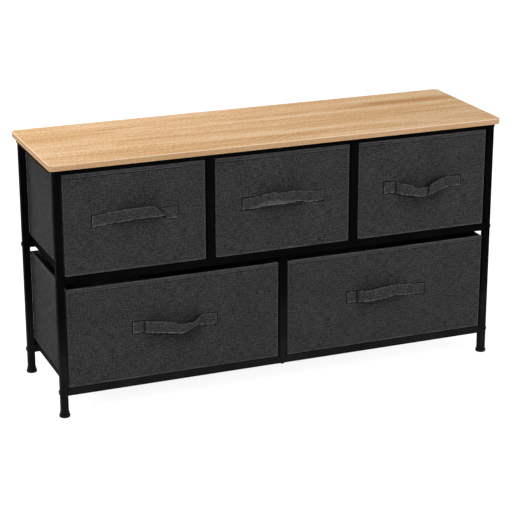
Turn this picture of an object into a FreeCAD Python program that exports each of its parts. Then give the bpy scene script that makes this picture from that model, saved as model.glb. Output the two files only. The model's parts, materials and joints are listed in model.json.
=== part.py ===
"""Low dresser with five fabric drawers in a bolted steel-tube frame under a wood-look board.

Millimetres. +Z is up, +X is to the right and -Y is the front, where the drawers pull out.
The origin is the middle of the footprint, on the floor.

Each level of the frame is a ladder: a front rail, a back rail and cross rails between them.
Bolts through the four legs hold the ladders. The drawers slide on the cross rails.
"""
import FreeCAD
import Part
import os

# ---- driving dimensions -------------------------------------------------------------------
BOARD_WIDTH = 1000.0
BOARD_DEPTH = 300.0
BOARD_THICKNESS = 12.0
BOARD_CORNER = 10.0
BOARD_EDGE = 0.8
HEIGHT = 540.0

TUBE = 15.0
TUBE_WALL = 1.0
TUBE_CORNER = 1.5
TOP_RAIL_HEIGHT = 12.0
FRAME_HALF_WIDTH = 491.0
FRAME_HALF_DEPTH = 138.0

FOOT_HEIGHT = 12.0
BOTTOM_RAIL_Z = 47.0
MIDDLE_RAIL_Z = 287.0
UPPER_DIVIDER_X = 161.0

DRAWER_HEIGHT = 213.0
DRAWER_DEPTH = 271.0
DRAWER_SIDE_GAP = 3.0
DRAWER_FRONT_RECESS = 4.0
DRAWER_OVERHANG = 7.0

# ---- fabric drawers -----------------------------------------------------------------------
COVER_WALL = 4.0
COVER_FLOOR = 1.5
COVER_CORNER = 2.0
TUCK_WIDTH = 9.0
TUCK_HEIGHT = 11.0
HEM_HEIGHT = 10.0
POCKET = 2.2
STIFFENER = 2.0
POCKET_END = 9.0
POCKET_FOOT = 3.0
BASE_BOARD = 3.0
BASE_GAP = 0.5

HANDLE_LENGTH = 181.0
HANDLE_HEIGHT = 24.0
HANDLE_TAB = 27.0
HANDLE_THICKNESS = 2.0
HANDLE_STANDOFF = 10.0
HANDLE_ABOVE_FLOOR = 110.0

# ---- hardware -----------------------------------------------------------------------------
FIT = 0.05
BOLT_RADIUS = 3.0
BOLT_LENGTH = 29.0
BOLT_HEAD_RADIUS = 5.5
BOLT_HEAD = 3.0
BOLT_HOLE = 3.3
SOCKET_RADIUS = 1.7
SOCKET_DEPTH = 1.6
INSERT_LENGTH = 14.0
SPIGOT_RADIUS = 3.9
SPIGOT_HOLE = 4.0
SPIGOT_LENGTH = 4.0
SCREW_RADIUS = 2.0
SCREW_HEAD_RADIUS = 4.0
SCREW_HEAD = 2.2
SCREW_LENGTH = 9.5
SCREW_ACCESS = 5.0
BOARD_SCREW_X = (-400.0, 0.0, 400.0)

PLUG_LENGTH = 18.0
COLLAR_RADIUS = 10.0
COLLAR = 3.5
FOOT_RADIUS = 11.5
FOOT_DISC = 7.0
FOOT_EDGE = 2.0
FOOT_NECK_RADIUS = 7.0
STEM_TOP = 27.0

STOP_WIDTH = 24.0
STOP_THICKNESS = 1.5
STOP_HEIGHT = 12.0
STOP_FOOT = 11.0
STOP_CORNER = 2.0
STOP_SCREW_RADIUS = 1.5
STOP_SCREW_HEAD_RADIUS = 2.7
STOP_SCREW_HEAD = 1.4
STOP_SCREW_LENGTH = 7.0
STOP_SCREW_INSET = 5.0

# ---- worked out ---------------------------------------------------------------------------
BOARD_Z = HEIGHT - BOARD_THICKNESS
TOP_RAIL_Z = BOARD_Z - TOP_RAIL_HEIGHT
LEG_INNER_X = FRAME_HALF_WIDTH - TUBE
LEG_INNER_Y = FRAME_HALF_DEPTH - TUBE
LEG_X = FRAME_HALF_WIDTH - TUBE / 2
LEG_Y = FRAME_HALF_DEPTH - TUBE / 2
HALF = TUBE / 2
FRONT_FACE_Y = -FRAME_HALF_DEPTH + DRAWER_FRONT_RECESS
BACK_FACE_Y = FRONT_FACE_Y + DRAWER_DEPTH
SIDES = {"left": -1, "right": 1}
ENDS = {"front": -1, "back": 1}
LEVELS = {
    "bottom": (BOTTOM_RAIL_Z, TUBE),
    "middle": (MIDDLE_RAIL_Z, TUBE),
    "top": (TOP_RAIL_Z, TOP_RAIL_HEIGHT),
}
DIVIDERS = {"upper": (-UPPER_DIVIDER_X, UPPER_DIVIDER_X), "lower": (0.0,)}
TIERS = {
    "upper": ("middle", MIDDLE_RAIL_Z + TUBE, TOP_RAIL_Z),
    "lower": ("bottom", BOTTOM_RAIL_Z + TUBE, MIDDLE_RAIL_Z),
}

# How the middle line of each strap hangs: (x from the strap's middle, height above its tabs).
HANDLE_HANG = {
    "upper_left": ((-60, 3), (-20, 6), (20, 6), (60, 0)),
    "upper_middle": ((-60, 0), (-20, 3), (15, 3), (60, -1)),
    "upper_right": ((-60, -2), (-25, -12), (8, -19), (35, -11), (62, -2)),
    "lower_left": ((-60, 0), (-10, -9), (18, -15), (40, -11), (66, 0)),
    "lower_right": ((-60, -1), (-30, -3), (0, 0), (60, 0)),
}


def block(low, high):
    """Box between two opposite corners."""
    size = [high[i] - low[i] for i in range(3)]
    return Part.makeBox(size[0], size[1], size[2], FreeCAD.Vector(*low))


def rounded_block(low, high, axis, radius):
    """Box whose four edges along one axis (0, 1 or 2) are rounded."""
    solid = block(low, high)
    edges = []
    for edge in solid.Edges:
        span = edge.Vertexes[1].Point - edge.Vertexes[0].Point
        if abs(span[axis]) > 1e-6:
            edges.append(edge)
    return solid.makeFillet(radius, edges)


def tube(low, high, axis):
    """Hollow rectangular steel tube along one axis, open at both ends."""
    inner_low = [low[i] + (0 if i == axis else TUBE_WALL) for i in range(3)]
    inner_high = [high[i] - (0 if i == axis else TUBE_WALL) for i in range(3)]
    return rounded_block(low, high, axis, TUBE_CORNER).cut(block(inner_low, inner_high))


def rod(radius, length, start, direction):
    """Solid round bar that starts at a point and runs along a direction."""
    return Part.makeCylinder(radius, length, FreeCAD.Vector(*start), FreeCAD.Vector(*direction))


def shifted(point, direction, distance):
    """Point moved along a direction."""
    return tuple(point[i] + direction[i] * distance for i in range(3))


def button_bolt(seat, direction):
    """Button-head bolt: seat is where the head bears, direction is where the shank goes."""
    back = tuple(-d for d in direction)
    head = rod(BOLT_HEAD_RADIUS, BOLT_HEAD, seat, back)
    crown = [e for e in head.Edges if e.BoundBox.DiagonalLength > 1 and is_far(e, seat, BOLT_HEAD)]
    head = head.makeFillet(BOLT_HEAD * 0.7, crown)
    bolt = head.fuse(rod(BOLT_RADIUS, BOLT_LENGTH, seat, direction))
    socket_start = shifted(seat, back, BOLT_HEAD - SOCKET_DEPTH)
    return bolt.cut(rod(SOCKET_RADIUS, BOLT_HEAD, socket_start, back)).removeSplitter()


def is_far(edge, seat, distance):
    """True for a closed edge in the plane that is this far from the seat."""
    centre = edge.BoundBox.Center
    return edge.isClosed() and (centre - FreeCAD.Vector(*seat)).Length > distance * 0.9


def group(solids):
    """Several separate solids in one node."""
    return Part.makeCompound(solids)


def openings(tier):
    """Clear widths (left x, right x) of the drawer openings of one tier."""
    edges = [-LEG_INNER_X]
    for x in DIVIDERS[tier]:
        edges += [x - HALF, x + HALF]
    edges.append(LEG_INNER_X)
    return [(edges[i], edges[i + 1]) for i in range(0, len(edges), 2)]


def drawer_spans():
    """Drawer name to (left x, right x, floor z) of its fabric box."""
    places = {"upper": ("left", "middle", "right"), "lower": ("left", "right")}
    spans = {}
    for tier, names in places.items():
        for name, (left, right) in zip(names, openings(tier)):
            spans[f"{tier}_{name}"] = (left + DRAWER_SIDE_GAP, right - DRAWER_SIDE_GAP, TIERS[tier][1])
    return spans


# ---- frame --------------------------------------------------------------------------------
def top_board():
    """Wood-look board with rounded corners and pilot holes for its screws underneath."""
    low = (-BOARD_WIDTH / 2, -BOARD_DEPTH / 2, BOARD_Z)
    high = (BOARD_WIDTH / 2, BOARD_DEPTH / 2, HEIGHT)
    board = rounded_block(low, high, 2, BOARD_CORNER)
    flat = [e for e in board.Edges if e.BoundBox.ZLength < 1e-6]
    board = board.makeFillet(BOARD_EDGE, flat)
    for x, y in board_screw_places():
        pilot = SCREW_LENGTH - TUBE_WALL
        board = board.cut(rod(SCREW_RADIUS + FIT, pilot, (x, y, BOARD_Z), (0, 0, 1)))
    return board


def board_screw_places():
    """Middle of each board screw, on the front and back top rails."""
    return [(x, sign * LEG_Y) for sign in ENDS.values() for x in BOARD_SCREW_X]


def board_screws():
    """Screws up through the top rails, with their heads inside the tubes."""
    screws = []
    for x, y in board_screw_places():
        seat = (x, y, BOARD_Z - TUBE_WALL)
        shank = rod(SCREW_RADIUS, SCREW_LENGTH, seat, (0, 0, 1))
        head = rod(SCREW_HEAD_RADIUS, SCREW_HEAD, seat, (0, 0, -1))
        screws.append(shank.fuse(head).removeSplitter())
    return group(screws)


def frame_bolt_places():
    """Seat and direction of each bolt: three levels at four legs, and two under the lower dividers."""
    places = []
    for level_z, level_height in LEVELS.values():
        for side in SIDES.values():
            for end in ENDS.values():
                seat = (side * FRAME_HALF_WIDTH, end * LEG_Y, level_z + level_height / 2)
                places.append((seat, (-side, 0, 0)))
    for end in ENDS.values():
        places.append(((0.0, end * LEG_Y, BOTTOM_RAIL_Z), (0, 0, 1)))
    return places


def frame_bolts():
    """Identical button-head bolts that hold the ladders to the legs and the lower dividers down."""
    return group([button_bolt(seat, direction) for seat, direction in frame_bolt_places()])


def leg(side, end):
    """Square-tube leg with clearance holes for the three bolts."""
    low = [min(side * LEG_INNER_X, side * FRAME_HALF_WIDTH), min(end * LEG_INNER_Y, end * FRAME_HALF_DEPTH)]
    solid = tube((low[0], low[1], FOOT_HEIGHT), (low[0] + TUBE, low[1] + TUBE, BOARD_Z), 2)
    for level_z, level_height in LEVELS.values():
        start = (low[0], end * LEG_Y, level_z + level_height / 2)
        solid = solid.cut(rod(BOLT_HOLE, TUBE, start, (1, 0, 0)))
    return solid


def long_rail(level, end):
    """Front or back rail of one level, drilled for what is fastened to it."""
    z, height = LEVELS[level]
    y = min(end * LEG_INNER_Y, end * FRAME_HALF_DEPTH)
    rail = tube((-LEG_INNER_X, y, z), (LEG_INNER_X, y + TUBE, z + height), 0)
    mid_y = end * LEG_Y
    for tier, (below, floor_z, ceiling_z) in TIERS.items():
        for x in DIVIDERS[tier]:
            if level == below:
                rail = rail.cut(rod(SPIGOT_HOLE, HALF, (x, mid_y, floor_z - HALF), (0, 0, 1)))
            if abs(ceiling_z - z) < 1e-6:
                rail = rail.cut(rod(SPIGOT_HOLE, HALF, (x, mid_y, z), (0, 0, 1)))
    if level == "bottom":
        rail = rail.cut(rod(BOLT_HOLE, HALF, (0, mid_y, z), (0, 0, 1)))
    if level == "top":
        for x in BOARD_SCREW_X:
            rail = rail.cut(rod(SCREW_RADIUS + FIT, TUBE, (x, mid_y, z), (0, 0, 1)))
            rail = rail.cut(rod(SCREW_ACCESS, HALF, (x, mid_y, z - HALF + TUBE_WALL), (0, 0, 1)))
    if end > 0:
        for _, screw_x, floor_z in stop_places():
            if abs(floor_z - z - height) < 1e-6:
                start = (screw_x, FRAME_HALF_DEPTH, z + HALF)
                rail = rail.cut(rod(STOP_SCREW_RADIUS + FIT, HALF, start, (0, -1, 0)))
    return rail


def top_side_rail(side):
    """Short tube that joins the tops of a front and a back leg."""
    x = min(side * LEG_INNER_X, side * FRAME_HALF_WIDTH)
    return tube((x, -LEG_INNER_Y, BOARD_Z - TUBE), (x + TUBE, LEG_INNER_Y, BOARD_Z), 1)


def cross_rails():
    """Tubes from front rail to back rail, two under each drawer, named along X."""
    nodes = {}
    for tier, (level, floor_z, _) in TIERS.items():
        left_edges = []
        for name, (left, right, _) in drawer_spans().items():
            if name.startswith(tier):
                left_edges += [left + DRAWER_OVERHANG, right - DRAWER_OVERHANG - TUBE]
        for number, x in enumerate(left_edges, 1):
            low = (x, -LEG_INNER_Y, floor_z - TUBE)
            high = (x + TUBE, LEG_INNER_Y, floor_z)
            nodes[f"{level}_cross_rail_{number}"] = tube(low, high, 1)
    return nodes


def dividers():
    """Upright tubes between the drawers, at the front and at the back."""
    nodes = {}
    for tier, (_, floor_z, ceiling_z) in TIERS.items():
        for x in DIVIDERS[tier]:
            place = "" if len(DIVIDERS[tier]) == 1 else ("_left" if x < 0 else "_right")
            for end_name, end in ENDS.items():
                y = min(end * LEG_INNER_Y, end * FRAME_HALF_DEPTH)
                post = tube((x - HALF, y, floor_z), (x + HALF, y + TUBE, ceiling_z), 2)
                nodes[f"{tier}_{end_name}_divider{place}"] = post
    return nodes


def divider_end_plugs():
    """Plastic plug in each end of each divider, with a round spigot that locates in the rail."""
    plugs = []
    for tier, (_, floor_z, ceiling_z) in TIERS.items():
        for x in DIVIDERS[tier]:
            for end in ENDS.values():
                plugs.append(end_plug((x, end * LEG_Y, floor_z), 1))
                plugs.append(end_plug((x, end * LEG_Y, ceiling_z), -1))
    return group(plugs)


def end_plug(mouth, up):
    """Square plug that goes into a tube from its mouth, up (1) or down (-1)."""
    half = HALF - TUBE_WALL - FIT
    tip = shifted(mouth, (0, 0, up), INSERT_LENGTH)
    low = (mouth[0] - half, mouth[1] - half, min(mouth[2], tip[2]))
    high = (mouth[0] + half, mouth[1] + half, max(mouth[2], tip[2]))
    plug = block(low, high).fuse(rod(SPIGOT_RADIUS, SPIGOT_LENGTH, mouth, (0, 0, -up)))
    bore_start = shifted(mouth, (0, 0, -up), SPIGOT_LENGTH)
    bore = rod(BOLT_RADIUS + FIT, SPIGOT_LENGTH + INSERT_LENGTH, bore_start, (0, 0, up))
    return plug.cut(bore).removeSplitter()


def rail_end_inserts():
    """Threaded block in each end of the long rails, which the frame bolts screw into."""
    inserts = []
    half = HALF - TUBE_WALL - FIT
    for level_z, level_height in LEVELS.values():
        half_height = level_height / 2 - TUBE_WALL - FIT
        mid_z = level_z + level_height / 2
        for side in SIDES.values():
            for end in ENDS.values():
                x = min(side * LEG_INNER_X, side * (LEG_INNER_X - INSERT_LENGTH))
                low = (x, end * LEG_Y - half, mid_z - half_height)
                high = (x + INSERT_LENGTH, end * LEG_Y + half, mid_z + half_height)
                bore = rod(BOLT_RADIUS + FIT, INSERT_LENGTH, (x, end * LEG_Y, mid_z), (1, 0, 0))
                inserts.append(block(low, high).cut(bore))
    return group(inserts)


# ---- feet ---------------------------------------------------------------------------------
def leg_end_plugs():
    """Plastic plug in the bottom of each leg, with a round collar under the tube."""
    plugs = []
    half = HALF - TUBE_WALL - FIT
    for side in SIDES.values():
        for end in ENDS.values():
            x, y = side * LEG_X, end * LEG_Y
            low = (x - half, y - half, FOOT_HEIGHT)
            high = (x + half, y + half, FOOT_HEIGHT + PLUG_LENGTH)
            collar = rod(COLLAR_RADIUS, COLLAR, (x, y, FOOT_HEIGHT - COLLAR), (0, 0, 1))
            collar = collar.makeFillet(COLLAR / 4, [e for e in collar.Edges if e.BoundBox.ZLength < 1e-6])
            bore = rod(BOLT_RADIUS + FIT, PLUG_LENGTH + COLLAR, (x, y, FOOT_HEIGHT - COLLAR), (0, 0, 1))
            plugs.append(block(low, high).fuse(collar).cut(bore).removeSplitter())
    return group(plugs)


def levelling_foot(side, end):
    """Round foot with a threaded stem that turns in the leg's plug."""
    x, y = side * LEG_X, end * LEG_Y
    disc = rod(FOOT_RADIUS, FOOT_DISC, (x, y, 0), (0, 0, 1))
    disc = disc.makeFillet(FOOT_EDGE, [e for e in disc.Edges if e.BoundBox.ZLength < 1e-6])
    neck_top = FOOT_HEIGHT - COLLAR - 6 * FIT
    neck = rod(FOOT_NECK_RADIUS, neck_top, (x, y, 0), (0, 0, 1))
    stem = rod(BOLT_RADIUS, STEM_TOP, (x, y, 0), (0, 0, 1))
    return disc.fuse(neck).fuse(stem).removeSplitter()


# ---- drawer stops -------------------------------------------------------------------------
def stop_places():
    """Left x, screw x and floor z of each stop plate: one at each side of each opening."""
    places = []
    for tier, (_, floor_z, _) in TIERS.items():
        for left, right in openings(tier):
            places.append((left, left + STOP_WIDTH - STOP_SCREW_INSET, floor_z))
            places.append((right - STOP_WIDTH, right - STOP_WIDTH + STOP_SCREW_INSET, floor_z))
    return places


def stop_brackets():
    """Small plates on the outside of the back rails. They stand up behind the drawers and stop them."""
    brackets = []
    y = FRAME_HALF_DEPTH
    for x, screw_x, z in stop_places():
        low = (x, y, z - STOP_FOOT)
        high = (x + STOP_WIDTH, y + STOP_THICKNESS, z + STOP_HEIGHT)
        hole = rod(STOP_SCREW_RADIUS + FIT, STOP_THICKNESS, (screw_x, y, z - HALF), (0, 1, 0))
        brackets.append(rounded_block(low, high, 1, STOP_CORNER).cut(hole))
    return group(brackets)


def stop_screws():
    """One pan-head screw for each stop plate, into the back wall of the rail."""
    screws = []
    for _, screw_x, z in stop_places():
        seat = (screw_x, FRAME_HALF_DEPTH + STOP_THICKNESS, z - HALF)
        head = rod(STOP_SCREW_HEAD_RADIUS, STOP_SCREW_HEAD, seat, (0, 1, 0))
        shank = rod(STOP_SCREW_RADIUS, STOP_SCREW_LENGTH, seat, (0, -1, 0))
        screws.append(head.fuse(shank).removeSplitter())
    return group(screws)


# ---- drawers ------------------------------------------------------------------------------
def drawer_walls(left, right, floor_z, thickness, shrink):
    """Four upright slabs in the middle of a drawer's walls: front, back, left and right."""
    inset = (COVER_WALL - thickness) / 2
    foot = floor_z + POCKET_FOOT + shrink
    top = floor_z + DRAWER_HEIGHT - HEM_HEIGHT - shrink
    x0, x1 = left + POCKET_END + shrink, right - POCKET_END - shrink
    y0, y1 = FRONT_FACE_Y + POCKET_END + shrink, BACK_FACE_Y - POCKET_END - shrink
    slabs = []
    for y in (FRONT_FACE_Y + inset, BACK_FACE_Y - inset - thickness):
        slabs.append(block((x0, y, foot), (x1, y + thickness, top)))
    for x in (left + inset, right - inset - thickness):
        slabs.append(block((x, y0, foot + TUCK_HEIGHT), (x + thickness, y1, top)))
    return slabs


def tucked_block(low, high):
    """Box between two opposite corners whose left and right sides tuck in at the bottom."""
    section = [
        (low[0] + TUCK_WIDTH, low[2]), (high[0] - TUCK_WIDTH, low[2]), (high[0], low[2] + TUCK_HEIGHT),
        (high[0], high[2]), (low[0], high[2]), (low[0], low[2] + TUCK_HEIGHT),
    ]
    corners = [FreeCAD.Vector(x, low[1], z) for x, z in section + section[:1]]
    return Part.Face(Part.makePolygon(corners)).extrude(FreeCAD.Vector(0, high[1] - low[1], 0))


def drawer_cover(left, right, floor_z):
    """Fabric box, open at the top, with a pocket in each wall for its stiffener.

    Its front is a plain upright panel. Behind it the side walls tuck in to the bottom.
    """
    top = floor_z + DRAWER_HEIGHT
    inner_y = FRONT_FACE_Y + COVER_WALL
    whole = rounded_block((left, FRONT_FACE_Y, floor_z), (right, BACK_FACE_Y, top), 2, COVER_CORNER)
    panel = block((left, FRONT_FACE_Y, floor_z), (right, inner_y, top))
    bag = tucked_block((left, inner_y, floor_z), (right, BACK_FACE_Y, top))
    outer = whole.common(panel.fuse(bag)).removeSplitter()
    low = (left + COVER_WALL, inner_y, floor_z + COVER_FLOOR)
    cover = outer.cut(tucked_block(low, (right - COVER_WALL, BACK_FACE_Y - COVER_WALL, top)))
    for pocket in drawer_walls(left, right, floor_z, POCKET, 0.0):
        cover = cover.cut(pocket)
    return cover


def drawer_stiffeners(left, right, floor_z):
    """Four fibre boards that stand in the pockets of the cover."""
    return group(drawer_walls(left, right, floor_z, STIFFENER, (POCKET - STIFFENER) / 2))


def drawer_base(left, right, floor_z):
    """Loose fibre board on the fabric floor."""
    gap = COVER_WALL + BASE_GAP
    z = floor_z + COVER_FLOOR
    low = (left + gap + TUCK_WIDTH, FRONT_FACE_Y + gap, z)
    return block(low, (right - gap - TUCK_WIDTH, BACK_FACE_Y - gap, z + BASE_BOARD))


def curve(points):
    """Smooth edge through a few points."""
    spline = Part.BSplineCurve()
    spline.interpolate([FreeCAD.Vector(*p) for p in points])
    return spline.toShape()


def line(start, end):
    """Straight edge."""
    return Part.LineSegment(FreeCAD.Vector(*start), FreeCAD.Vector(*end)).toShape()


def arc(start, middle, end):
    """Round edge through three points."""
    points = [FreeCAD.Vector(*p) for p in (start, middle, end)]
    return Part.Arc(*points).toShape()


def handle(name, left, right, floor_z):
    """Fabric strap, sewn down at both ends, that bows out between them and hangs a little."""
    middle = (left + right) / 2
    z = floor_z + HANDLE_ABOVE_FLOOR
    half = HANDLE_LENGTH / 2
    hang = ((-half, 0),) + HANDLE_HANG[name] + ((half, 0),)
    upper = [(middle + x, FRONT_FACE_Y, z + dz + HANDLE_HEIGHT / 2) for x, dz in hang]
    lower = [(middle + x, FRONT_FACE_Y, z + dz - HANDLE_HEIGHT / 2) for x, dz in hang]
    sides = [line(upper[0], lower[0]), line(lower[-1], upper[-1])]
    outline = Part.Wire(Part.__sortEdges__([curve(upper), curve(lower)] + sides))
    front_view = Part.Face(outline).extrude(FreeCAD.Vector(0, -HANDLE_STANDOFF - 2 * HANDLE_THICKNESS, 0))
    return strap_band(middle, half, z).common(front_view)


def strap_band(middle, half, z):
    """Upright band whose plan is a strap: flat tabs and an arc that stands off between them."""
    bend = half - HANDLE_TAB
    inner, outer = FRONT_FACE_Y, FRONT_FACE_Y - HANDLE_THICKNESS
    base_z = z - HANDLE_LENGTH / 2
    edges = [
        line((middle - half, inner, base_z), (middle - bend, inner, base_z)),
        arc((middle - bend, inner, base_z), (middle, inner - HANDLE_STANDOFF, base_z),
            (middle + bend, inner, base_z)),
        line((middle + bend, inner, base_z), (middle + half, inner, base_z)),
        line((middle + half, inner, base_z), (middle + half, outer, base_z)),
        line((middle + half, outer, base_z), (middle + bend, outer, base_z)),
        arc((middle + bend, outer, base_z), (middle, outer - HANDLE_STANDOFF, base_z),
            (middle - bend, outer, base_z)),
        line((middle - bend, outer, base_z), (middle - half, outer, base_z)),
        line((middle - half, outer, base_z), (middle - half, inner, base_z)),
    ]
    return Part.Face(Part.Wire(edges)).extrude(FreeCAD.Vector(0, 0, HANDLE_LENGTH))


# ---- assembly -----------------------------------------------------------------------------
def build():
    """All sub-parts: node name to shape."""
    nodes = {"top_board": top_board(), "board_screws": board_screws()}
    for end_name, end in ENDS.items():
        for side_name, side in SIDES.items():
            nodes[f"{end_name}_{side_name}_leg"] = leg(side, end)
            nodes[f"{end_name}_{side_name}_foot"] = levelling_foot(side, end)
        for level in LEVELS:
            nodes[f"{level}_{end_name}_rail"] = long_rail(level, end)
    for side_name, side in SIDES.items():
        nodes[f"top_{side_name}_rail"] = top_side_rail(side)
    nodes.update(cross_rails())
    nodes.update(dividers())
    nodes["divider_end_plugs"] = divider_end_plugs()
    nodes["rail_end_inserts"] = rail_end_inserts()
    nodes["leg_end_plugs"] = leg_end_plugs()
    nodes["frame_bolts"] = frame_bolts()
    nodes["stop_brackets"] = stop_brackets()
    nodes["stop_screws"] = stop_screws()
    for name, span in drawer_spans().items():
        nodes[f"{name}_drawer_cover"] = drawer_cover(*span)
        nodes[f"{name}_drawer_stiffeners"] = drawer_stiffeners(*span)
        nodes[f"{name}_drawer_base"] = drawer_base(*span)
        nodes[f"{name}_drawer_handle"] = handle(name, *span)
    return nodes


os.makedirs("parts", exist_ok=True)
for node_name, node_shape in build().items():
    node_shape.exportStep(f"parts/{node_name}.step")
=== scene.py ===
"""Looks of the low dresser with five fabric drawers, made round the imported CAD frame. Metres.

The board, tubes, feet and hardware keep their CAD meshes and get materials.
Each fabric cover and each strap handle is a mesh of its own, which rides on its drawer.
"""
import bisect
import bpy
import itertools
import json
import math
from mathutils import Matrix, Vector, noise


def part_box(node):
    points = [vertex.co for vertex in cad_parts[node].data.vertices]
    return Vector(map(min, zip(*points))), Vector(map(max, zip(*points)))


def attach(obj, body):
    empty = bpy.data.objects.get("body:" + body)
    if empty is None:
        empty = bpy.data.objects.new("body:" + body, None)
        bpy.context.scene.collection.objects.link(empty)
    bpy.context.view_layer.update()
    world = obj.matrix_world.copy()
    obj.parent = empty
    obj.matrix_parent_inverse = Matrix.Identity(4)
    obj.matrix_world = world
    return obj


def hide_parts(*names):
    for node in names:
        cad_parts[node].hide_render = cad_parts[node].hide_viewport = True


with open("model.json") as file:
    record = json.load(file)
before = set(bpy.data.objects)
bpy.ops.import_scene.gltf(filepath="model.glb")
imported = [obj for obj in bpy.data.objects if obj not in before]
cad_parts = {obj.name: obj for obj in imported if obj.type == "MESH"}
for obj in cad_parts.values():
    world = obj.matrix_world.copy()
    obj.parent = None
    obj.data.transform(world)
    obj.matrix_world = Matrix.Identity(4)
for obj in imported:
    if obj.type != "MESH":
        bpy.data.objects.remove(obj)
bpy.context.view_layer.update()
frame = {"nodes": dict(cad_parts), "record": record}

MM = 0.001
TINY = 1e-9

# ---- camera and light ----
CAMERA_PLACE = (-1.347, -3.348, 1.465)
CAMERA_YAW = 21.86
CAMERA_PITCH = 18.72
CAMERA_ROLL = 0.118
CAMERA_LENS = 122.5
SENSOR_WIDTH = 36.0

WORLD_LIGHT = 0.5
FLOOR_SIZE = 60.0
FLOOR_COLOUR = (0.32, 0.32, 0.32, 1.0)
WHITE = (1.0, 1.0, 1.0, 1.0)
FLOOR_GLOW = 0.89

# Name: (place, aimed at, width, watts)
LAMPS = {
    "key_lamp": ((-2.9, -1.5, 1.8), (-0.3, 0.0, 0.3), 1.0, 68.0),
    "fill_lamp": ((2.3, -2.6, 1.0), (0.1, 0.0, 0.3), 1.6, 66.0),
    "rear_lamp": ((-0.9, 1.2, 1.5), (-0.2, 0.0, 0.4), 1.2, 23.0),
}

# ---- drawers ----
DRAWERS = ("upper_left", "upper_middle", "upper_right", "lower_left", "lower_right")
# Walls in order round the box, with their outward directions.
WALLS = {
    "back": Vector((0, 1, 0)),
    "left": Vector((-1, 0, 0)),
    "front": Vector((0, -1, 0)),
    "right": Vector((1, 0, 0)),
}
WALL = 4 * MM
CORNER = 1.1 * MM
LEAST_CORNER = 0.8 * MM
BASE_SHEET = 1.3 * MM
BASE_LIFT = 0.25 * MM
BOTTOM_ROUND = 2.4 * MM
# The mesh begins this far in under the bottom.
BOTTOM_RING = 9 * MM
# Behind the front panel the side walls tuck in towards the bottom.
TUCK_WIDTH = 9 * MM
TUCK_HEIGHT = 11 * MM
TUCK_BEHIND = (WALL - 1 * MM, WALL + 4 * MM)
RIM_ROUND = WALL / 2
RIM_DROP = 0.9 * MM
RIM_DROP_REACH = 30 * MM
HEM = 8.8 * MM
HEM_GAP = 3 * MM
HEM_PROUD = 0.55 * MM
HEM_STITCH = 5 * MM
HEM_GROOVE = 0.4 * MM
PUCKER = 0.13 * MM
PUCKER_PITCH = 9.5 * MM
PUCKER_DROP = 3 * MM
PUCKER_HEIGHT = 12 * MM
SEAM_INSET = 1.6 * MM
SEAM_DEPTH = 0.55 * MM
SEAM_WIDTH = 2 * MM
SEAM_FOOT = (2 * MM, 6 * MM)

# How far each wall bulges, and how far from its ends, foot and rim the bulge fades.
PUFF = {"front": 0.9 * MM, "back": 0.3 * MM, "left": 0.45 * MM, "right": 0.45 * MM}
PUFF_ENDS = 28 * MM
PUFF_FOOT = 25 * MM
PUFF_RIM = (4 * MM, 30 * MM)
PUFF_MEAN = 0.4
# Waves of the bulge: how often they turn in a metre, along and up, and their share.
PUFF_WAVES = ((7.0, 8.0, 0.5), (24.0, 30.0, 0.25))

# Steps of the mesh round the box and up its walls.
CORNER_STEPS = 4
NEAR_CORNER = (0.0, 0.8 * MM, 1.6 * MM, 2.4 * MM, 4 * MM)
ACROSS_STEP = 4 * MM
BOTTOM_STEPS = 4
RIM_STEPS = 8
TUCK_STEP = 2.1 * MM
UP_STEP = 6.5 * MM

# ---- painted light and shade, and wear ----
# Edges lighter by rubbed wear and by painted highlight: how light, and how far inside the edge the light
# fades, from and to.
EDGE_WEAR_AND_HIGHLIGHT = {
    "cover_side": (0.5, 0.4 * MM, 3.2 * MM),
    "cover_foot": (0.5, 1.5 * MM, 5 * MM),
    "strap_top": (0.7, 0.5 * MM, 2.2 * MM),
    "strap_foot": (1.5, 1.2 * MM, 3.2 * MM),
    "strap_end": (1.1, 0.5 * MM, 2.6 * MM),
}
# Share of the hem's painted light and shade on the walls other than the front.
PLAIN_HEM_SHADE = 0.3
# Painted shade in the two rear corners of the box.
REAR_CORNER_SHADE = 0.7
# Painted shade on the cloth round a strap's loop, as deep as the first value here where the loop stands
# out as far as the last or more.
HALO_SHADE = 0.5
HALO_REACH = 34 * MM
HALO_DROP = 4 * MM
HALO_OUT = 10 * MM
# Painted shadow on the welt outside a strap's edges.
WELT_SHADOW = -2.0

# ---- stitches ----
THREAD_RADIUS = 0.32 * MM
STITCH_PITCH = 3.4 * MM
STITCH_LENGTH = 2.7 * MM
THREAD_SIDES = 6
# Share of the stitch, rise above the cloth and swell of the thread, along one stitch.
STITCH = (
    (0.0, -0.25 * MM, 0.6),
    (0.22, 0.12 * MM, 1.0),
    (0.78, 0.12 * MM, 1.0),
    (1.0, -0.25 * MM, 0.6),
)

# ---- strap handles ----
STRAP_THICKNESS = 2 * MM
STRAP_WIDTH = 24 * MM
STRAP_UP = 110 * MM
STRAP_SUNK = 0.1 * MM
STRAP_CROWN = 0.5 * MM
STRAP_RIPPLE = 0.35 * MM
TAB_LENGTH = 27 * MM
TAB_FADE = 2 * MM
TAB_CURL = 0.5 * MM
CURL_WIDTH = 4 * MM
EDGE_SEAM = 2 * MM
BOX_INSET = 5 * MM
BOX_END = TAB_LENGTH - 1 * MM
BOX_STEPS = 8
# Grooves that the stitches pull, less deep along the edges.
GROOVE_DEPTH = 0.28 * MM
EDGE_GROOVE = 0.7
GROOVE_WIDTH = 1.6 * MM
CROSS_GROOVE_WIDTH = 2.4 * MM
# The welt: a low lip of cloth outside the edges, smaller on the loop than on the tabs.
WELT = 1.8 * MM
WELT_HEIGHT = 0.5 * MM
RISER = 0.03 * MM
LOOP_WELT = 0.3
STRAP_STEP = 1.6 * MM
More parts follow.
